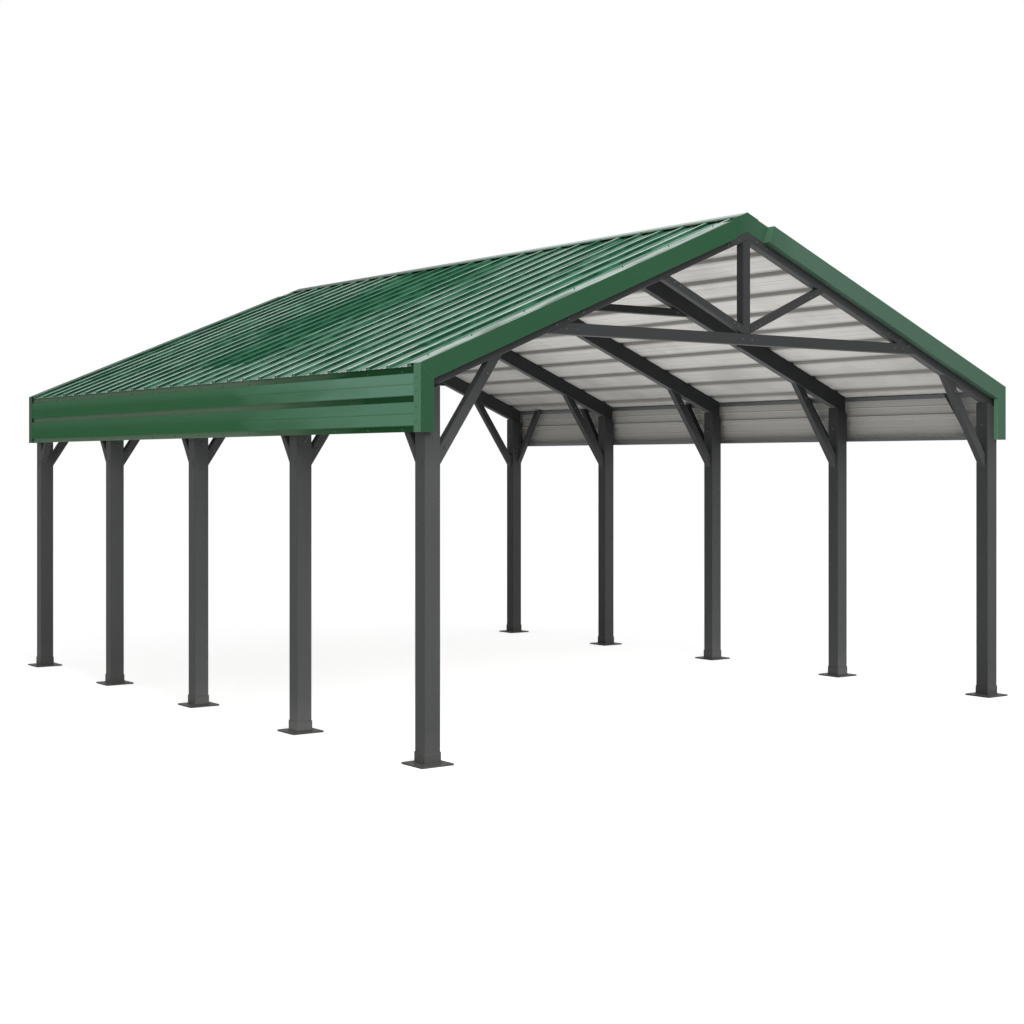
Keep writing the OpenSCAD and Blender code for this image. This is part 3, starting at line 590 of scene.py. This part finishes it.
def weldTree():  # rippled bead along the edges of a path
    tree = bpy.data.node_groups.new("weld_bead", "GeometryNodeTree")
    sockets = tree.interface
    sockets.new_socket("Geometry", in_out="INPUT", socket_type="NodeSocketGeometry")
    for label in ("Bead Radius", "Ripple Length", "Ripple Depth"):
        sockets.new_socket(label, in_out="INPUT", socket_type="NodeSocketFloat")
    sockets.new_socket("Finish", in_out="INPUT", socket_type="NodeSocketMaterial")
    sockets.new_socket("Geometry", in_out="OUTPUT", socket_type="NodeSocketGeometry")
    start = tree.nodes.new("NodeGroupInput").outputs
    step = addNode(tree, "ShaderNodeMath", {1: 0.5}, {0: start["Ripple Length"]}, operation="MULTIPLY")
    path = addNode(tree, "GeometryNodeMeshToCurve", {}, {"Mesh": start["Geometry"]})
    fine = addNode(
        tree, "GeometryNodeResampleCurve", {}, {"Curve": path.outputs[0], "Length": step.outputs[0]},
        mode="LENGTH")
    count = addNode(tree, "GeometryNodeInputIndex")
    odd = addNode(tree, "ShaderNodeMath", {1: 2.0}, {0: count.outputs[0]}, operation="MODULO")
    dip = addNode(
        tree, "ShaderNodeMath", {}, {0: odd.outputs[0], 1: start["Ripple Depth"]}, operation="MULTIPLY")
    width = addNode(tree, "ShaderNodeMath", {0: 1.0}, {1: dip.outputs[0]}, operation="SUBTRACT")
    ring = addNode(
        tree, "GeometryNodeCurvePrimitiveCircle", {"Resolution": 8}, {"Radius": start["Bead Radius"]})
    bead = addNode(tree, "GeometryNodeCurveToMesh", {}, {
        "Curve": fine.outputs[0], "Profile Curve": ring.outputs[0], "Scale": width.outputs[0]})
    smooth = addNode(tree, "GeometryNodeSetShadeSmooth", {}, {"Geometry": bead.outputs[0]})
    real = addNode(tree, "GeometryNodeRealizeInstances", {}, {0: smooth.outputs[0]})
    done = addNode(
        tree, "GeometryNodeSetMaterial", {}, {"Geometry": real.outputs[0], "Material": start["Finish"]})
    addNode(tree, "NodeGroupOutput", {}, {0: done.outputs[0]})
    return tree


def makePiece(name, tree, mesh, inputs):  # runs a tree on a mesh and keeps a plain piece
    piece = bpy.data.objects.new(name, mesh)
    bpy.context.scene.collection.objects.link(piece)
    modifier = piece.modifiers.new("build", "NODES")
    modifier.node_group = tree
    for socket in tree.interface.items_tree:
        if socket.in_out == "INPUT" and socket.name in inputs:
            modifier[socket.identifier] = inputs[socket.name]
    plain = bpy.data.meshes.new_from_object(piece.evaluated_get(bpy.context.evaluated_depsgraph_get()))
    piece.modifiers.remove(modifier)
    piece.data = plain
    plain.name = name
    for label in ("aim", "isWasher"):
        if label in plain.attributes:
            plain.attributes.remove(plain.attributes[label])
    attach(piece, "root")
    print("piece:", name, len(plain.polygons), "faces")


hexTree = fastenerTree()
beadTree = weldTree()


def closureMesh(name, profile, starts, stretch):  # a prism of the profile at each (origin, across, up, back)
    points, faces = [], []
    for origin, across, up, back in starts:
        first = len(points)
        for depth in (0, stretch):
            points += [origin + across * a + up * b + back * depth for a, b in profile]
        n = len(profile)
        faces += [tuple(first + k for k in range(n)), tuple(first + n + k for k in reversed(range(n)))]
        faces += [(first + k, first + n + k, first + n + (k + 1) % n, first + (k + 1) % n) for k in range(n)]
    mesh = bpy.data.meshes.new(name)
    mesh.from_pydata([tuple(p) for p in points], [], faces)
    return mesh


def fasten(name, places, sizes):  # places are (point, outward direction) pairs
    mesh = bpy.data.meshes.new(name)
    mesh.from_pydata([tuple(p) for p, _ in places], [], [])
    aim = mesh.attributes.new("aim", "FLOAT_VECTOR", "POINT")
    aim.data.foreach_set("vector", [c for _, d in places for c in Vector(d).normalized()])
    inputs = dict(sizes)
    inputs["Head Finish"] = finishes[inputs["Head Finish"]]
    inputs["Washer Finish"] = finishes[inputs["Washer Finish"]]
    makePiece(name, hexTree, mesh, inputs)


roofScrews = {
    "Across Flats": 0.008, "Head Height": 0.0055, "Washer Diameter": 0.016, "Washer Thickness": 0.0025,
    "Spin Seed": 3, "Head Finish": "screw", "Washer Finish": "screw",
    "panTop": 0.0324, "besideRib": 0.050,
    "rows": (0.183, 0.851, 1.518, 2.185, 2.853, 3.186),  # metres down the slope, on the deck's ribs
}
for side in sides:
    spots = []
    for row in roofScrews["rows"]:
        for rib in ribLines[:-1]:  # one screw in every pan
            y = rib + roofScrews["besideRib"]
            spots.append((slopePoint(side, row, y, roofScrews["panTop"]), slopeNormal(side)))
    fasten("roof_screws_left" if side < 0 else "roof_screws_right", spots, roofScrews)

# Foam closures that fill the open rib ends at the eaves
closures = {
    "profile": ((-0.0280, 0.0), (0.0280, 0.0), (0.0145, 0.0195), (-0.0145, 0.0195)),  # (across, up)
    "depth": 0.025, "down": 3.368, "under": 0.0306,
}
starts = []
for side in sides:
    back = slopePoint(side, 0, 0, 0) - slopePoint(side, 1, 0, 0)
    for y in ribLines:
        foot = slopePoint(side, closures["down"], y, closures["under"])
        starts.append((foot, Vector((0, 1, 0)), slopeNormal(side), back))
plug = closureMesh("eave_closures", closures["profile"], starts, closures["depth"])
plug.materials.append(finishes["closure"])
piece = bpy.data.objects.new("eave_closures", plug)
bpy.context.scene.collection.objects.link(piece)
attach(piece, "root")
print("piece: eave_closures", len(plug.polygons), "faces")

ridgeScrews = {
    "Across Flats": 0.008, "Head Height": 0.0055, "Washer Diameter": 0.016, "Washer Thickness": 0.0025,
    "Spin Seed": 5, "Head Finish": "screw", "Washer Finish": "screw",
    "capTop": 0.0546, "down": 0.088, "every": 2,
}
spots = []
for side in sides:
    for y in ribLines[::ridgeScrews["every"]]:
        spots.append((slopePoint(side, ridgeScrews["down"], y, ridgeScrews["capTop"]), slopeNormal(side)))
fasten("ridge_screws", spots, ridgeScrews)

trimScrews = {
    "Across Flats": 0.008, "Head Height": 0.0055, "Washer Diameter": 0.014, "Washer Thickness": 0.002,
    "Spin Seed": 7, "Head Finish": "screw", "Washer Finish": "screw",
    "legTop": 0.0546, "legLine": 3.567, "legRow": (0.30, 0.80, 1.30, 1.80, 2.30, 2.80, 3.20),
    "cornerFace": 3.1296, "cornerLine": 3.655, "cornerRow": (2.370, 2.470, 2.580, 2.675),
}
spots = []
for side in sides:
    for end in gables:
        for down in trimScrews["legRow"]:
            spot = slopePoint(side, down, end * trimScrews["legLine"], trimScrews["legTop"])
            spots.append((spot, slopeNormal(side)))
        for z in trimScrews["cornerRow"]:
            spots.append(((side * trimScrews["cornerFace"], end * trimScrews["cornerLine"], z), (side, 0, 0)))
fasten("trim_screws", spots, trimScrews)

skirtScrews = {
    "Across Flats": 0.008, "Head Height": 0.0055, "Washer Diameter": 0.014, "Washer Thickness": 0.002,
    "Spin Seed": 11, "Head Finish": "screw", "Washer Finish": "screw",
    "bandFace": 3.1094, "bands": (2.7175, 2.3175), "reach": 3.45, "count": 16,
}
for side in sides:
    spots = []
    for z in skirtScrews["bands"]:
        for k in range(skirtScrews["count"]):
            y = skirtScrews["reach"] * (2 * k / (skirtScrews["count"] - 1) - 1)
            spots.append(((side * skirtScrews["bandFace"], y, z), (side, 0, 0)))
    fasten("skirt_screws_left" if side < 0 else "skirt_screws_right", spots, skirtScrews)

frameBolts = {
    "Across Flats": 0.016, "Head Height": 0.0085, "Washer Diameter": 0.022, "Washer Thickness": 0.002,
    "Spin Seed": 13, "Head Finish": "bolt", "Washer Finish": "bolt",
    "braceHalf": 0.035, "kneeFoot": (0.055, 2.193), "kneeHead": (0.41, 2.720),
    "postFace": 2.255, "innerFace": 2.43,
    "tieLine": 3.068, "tieAt": (0.05, 1.72, 1.82),
    "webStart": (0.04, 3.147), "webAngle": math.radians(24), "webAt": (0.06, 0.11, 0.74, 0.80),
    "rafterBand": 0.118, "rafterAt": (0.10, 0.21, 1.66, 1.80, 1.91),
    "collarLine": 3.458, "collarAt": 0.88, "collarHalf": 0.03,
}
spots = []
for side in sides:
    for y in frameLines:
        for face in (-1, 1):
            for back, z in (frameBolts["kneeFoot"], frameBolts["kneeHead"]):
                spot = (side * (postIn - back), y + face * frameBolts["braceHalf"], z)
                spots.append((spot, (0, face, 0)))
        spots.append(((side * postIn, y, frameBolts["innerFace"]), (-side, 0, 0)))
        for face in (-1, 1):
            spot = (side * plan["halfSpan"], y + face * plan["postHalf"], frameBolts["postFace"])
            spots.append((spot, (0, face, 0)))
    for end in gables:
        face = end * plan["gableFace"]
        for x in frameBolts["tieAt"]:
            spots.append(((side * x, face, frameBolts["tieLine"]), (0, end, 0)))
        for run in frameBolts["webAt"]:
            x = frameBolts["webStart"][0] + run * math.cos(frameBolts["webAngle"])
            z = frameBolts["webStart"][1] + run * math.sin(frameBolts["webAngle"])
            spots.append(((side * x, face, z), (0, end, 0)))
        for x in frameBolts["rafterAt"]:
            z = ridgeTop - x * math.tan(plan["pitch"]) - frameBolts["rafterBand"] / math.cos(plan["pitch"])
            spots.append(((side * x, face, z), (0, end, 0)))
    for y in frameLines[1:-1]:
        for face in (-1, 1):
            across, out = side * frameBolts["collarAt"], face * frameBolts["collarHalf"]
            spots.append(((across, y + out, frameBolts["collarLine"]), (0, face, 0)))
fasten("frame_bolts", spots, frameBolts)

braceBolts = {
    "Across Flats": 0.010, "Head Height": 0.006, "Washer Diameter": 0.015, "Washer Thickness": 0.0015,
    "Spin Seed": 17, "Head Finish": "bolt", "Washer Finish": "bolt",
    "rows": (2.066, 2.088, 2.110), "forward": 0.02,
}
spots = []
for side in sides:
    for line in frameLines:
        lean = 1 if line == frameLines[-1] else -1  # the last post has its bolts behind its middle
        y = line + lean * braceBolts["forward"]
        spots += [((side * postOut, y, z), (side, 0, 0)) for z in braceBolts["rows"]]
fasten("brace_bolts", spots, braceBolts)

footWelds = {
    "Bead Radius": 0.0055, "Ripple Length": 0.009, "Ripple Depth": 0.14, "Finish": finishes["charcoal"],
    "plateTop": 0.012, "sleeveHalf": 0.0713,
}
points, edges = [], []
for side in sides:
    for y in frameLines:
        first = len(points)
        for dx, dy in ((-1, -1), (1, -1), (1, 1), (-1, 1)):
            x = side * plan["halfSpan"] + dx * footWelds["sleeveHalf"]
            points.append((x, y + dy * footWelds["sleeveHalf"], footWelds["plateTop"]))
        edges += [(first + k, first + (k + 1) % 4) for k in range(4)]
path = bpy.data.meshes.new("foot_welds")
path.from_pydata(points, edges, [])
makePiece("foot_welds", beadTree, path, footWelds)


def brightRays(tree):  # 1 for rays from the camera, mirrored or let through, which see a white studio
    ray = addNode(tree, "ShaderNodeLightPath").outputs
    seen = addNode(
        tree, "ShaderNodeMath", {}, {0: ray["Is Camera Ray"], 1: ray["Is Glossy Ray"]}, operation="MAXIMUM")
    seen = addNode(
        tree, "ShaderNodeMath", {}, {0: seen.outputs[0], 1: ray["Is Transmission Ray"]},
        operation="MAXIMUM")
    return seen.outputs[0]


studio = {
    "sky": 0.50, "white": 1.0, "floorGlow": 0.60, "floorDiffuse": 0.85, "floorBounce": 0.80,
    "floorHalf": 150.0, "floorLevel": -0.0005,
    "keyFrom": (-4.0, -15.0, 10.0), "keyAt": (0.0, 0.0, 2.2), "keySize": 9.0, "keyPower": 1300.0,
    "fillFrom": (0.0, -1.3, 0.02), "fillAt": (0.0, -1.3, 3.0), "fillSize": 6.6, "fillPower": 100.0,
}
floorMesh = bpy.data.meshes.new("studio_floor")
half, level = studio["floorHalf"], studio["floorLevel"]
floorCorners = [(-half, -half, level), (half, -half, level), (half, half, level), (-half, half, level)]
floorMesh.from_pydata(floorCorners, [], [(0, 1, 2, 3)])
floor = bpy.data.objects.new("studio_floor", floorMesh)
bpy.context.scene.collection.objects.link(floor)
floorMaterial = bpy.data.materials.new("pale_floor")
floorMaterial.use_nodes = True
tree = floorMaterial.node_tree
tree.nodes.clear()
glow = addNode(tree, "ShaderNodeEmission", {"Color": (1, 1, 1, 1), "Strength": studio["floorGlow"]})
shade = addNode(tree, "ShaderNodeBsdfDiffuse", {"Color": (studio["floorDiffuse"],) * 3 + (1,)})
both = addNode(tree, "ShaderNodeAddShader", {}, {0: glow.outputs[0], 1: shade.outputs[0]})
bounce = addNode(tree, "ShaderNodeBsdfDiffuse", {"Color": (studio["floorBounce"],) * 3 + (1,)})
pick = addNode(
    tree, "ShaderNodeMixShader", {}, {0: brightRays(tree), 1: bounce.outputs[0], 2: both.outputs[0]})
addNode(tree, "ShaderNodeOutputMaterial", {}, {"Surface": pick.outputs[0]})
floorMesh.materials.append(floorMaterial)

world = bpy.data.worlds.new("studio_world")
world.use_nodes = True
bpy.context.scene.world = world
tree = world.node_tree
tree.nodes.clear()
dim = addNode(tree, "ShaderNodeBackground", {"Color": (1, 1, 1, 1), "Strength": studio["sky"]})
white = addNode(tree, "ShaderNodeBackground", {"Color": (1, 1, 1, 1), "Strength": studio["white"]})
pick = addNode(
    tree, "ShaderNodeMixShader", {}, {0: brightRays(tree), 1: dim.outputs[0], 2: white.outputs[0]})
addNode(tree, "ShaderNodeOutputWorld", {}, {"Surface": pick.outputs[0]})

for lampName in ("key", "fill"):
    lamp = bpy.data.lights.new("studio_" + lampName, "AREA")
    lamp.shape = "DISK"
    lamp.size = studio[lampName + "Size"]
    lamp.energy = studio[lampName + "Power"]
    lampObject = bpy.data.objects.new("studio_" + lampName, lamp)
    lampObject.location = studio[lampName + "From"]
    aimAt = Vector(studio[lampName + "At"]) - lampObject.location
    lampObject.rotation_euler = aimAt.to_track_quat("-Z", "Y").to_euler()
    lampObject.visible_camera = False
    lampObject.visible_glossy = False
    bpy.context.scene.collection.objects.link(lampObject)
print("studio: floor, world and lamps set")

# Viewing angle of the photograph: level, with the lens shifted so that the posts stay upright
view = {"place": (-9.468, -13.466, 2.075), "heading": 36.084, "lens": 59.89, "sensor": 36.0, "shift": -0.0464}
cameraData = bpy.data.cameras.new("photo_camera")
cameraData.lens = view["lens"]
cameraData.sensor_width = view["sensor"]
cameraData.shift_y = view["shift"]
camera = bpy.data.objects.new("photo_camera", cameraData)
camera.location = view["place"]
camera.rotation_euler = (math.radians(90), 0, math.radians(-view["heading"]))
bpy.context.scene.collection.objects.link(camera)
bpy.context.scene.camera = camera
bpy.context.scene.view_settings.view_transform = "Standard"
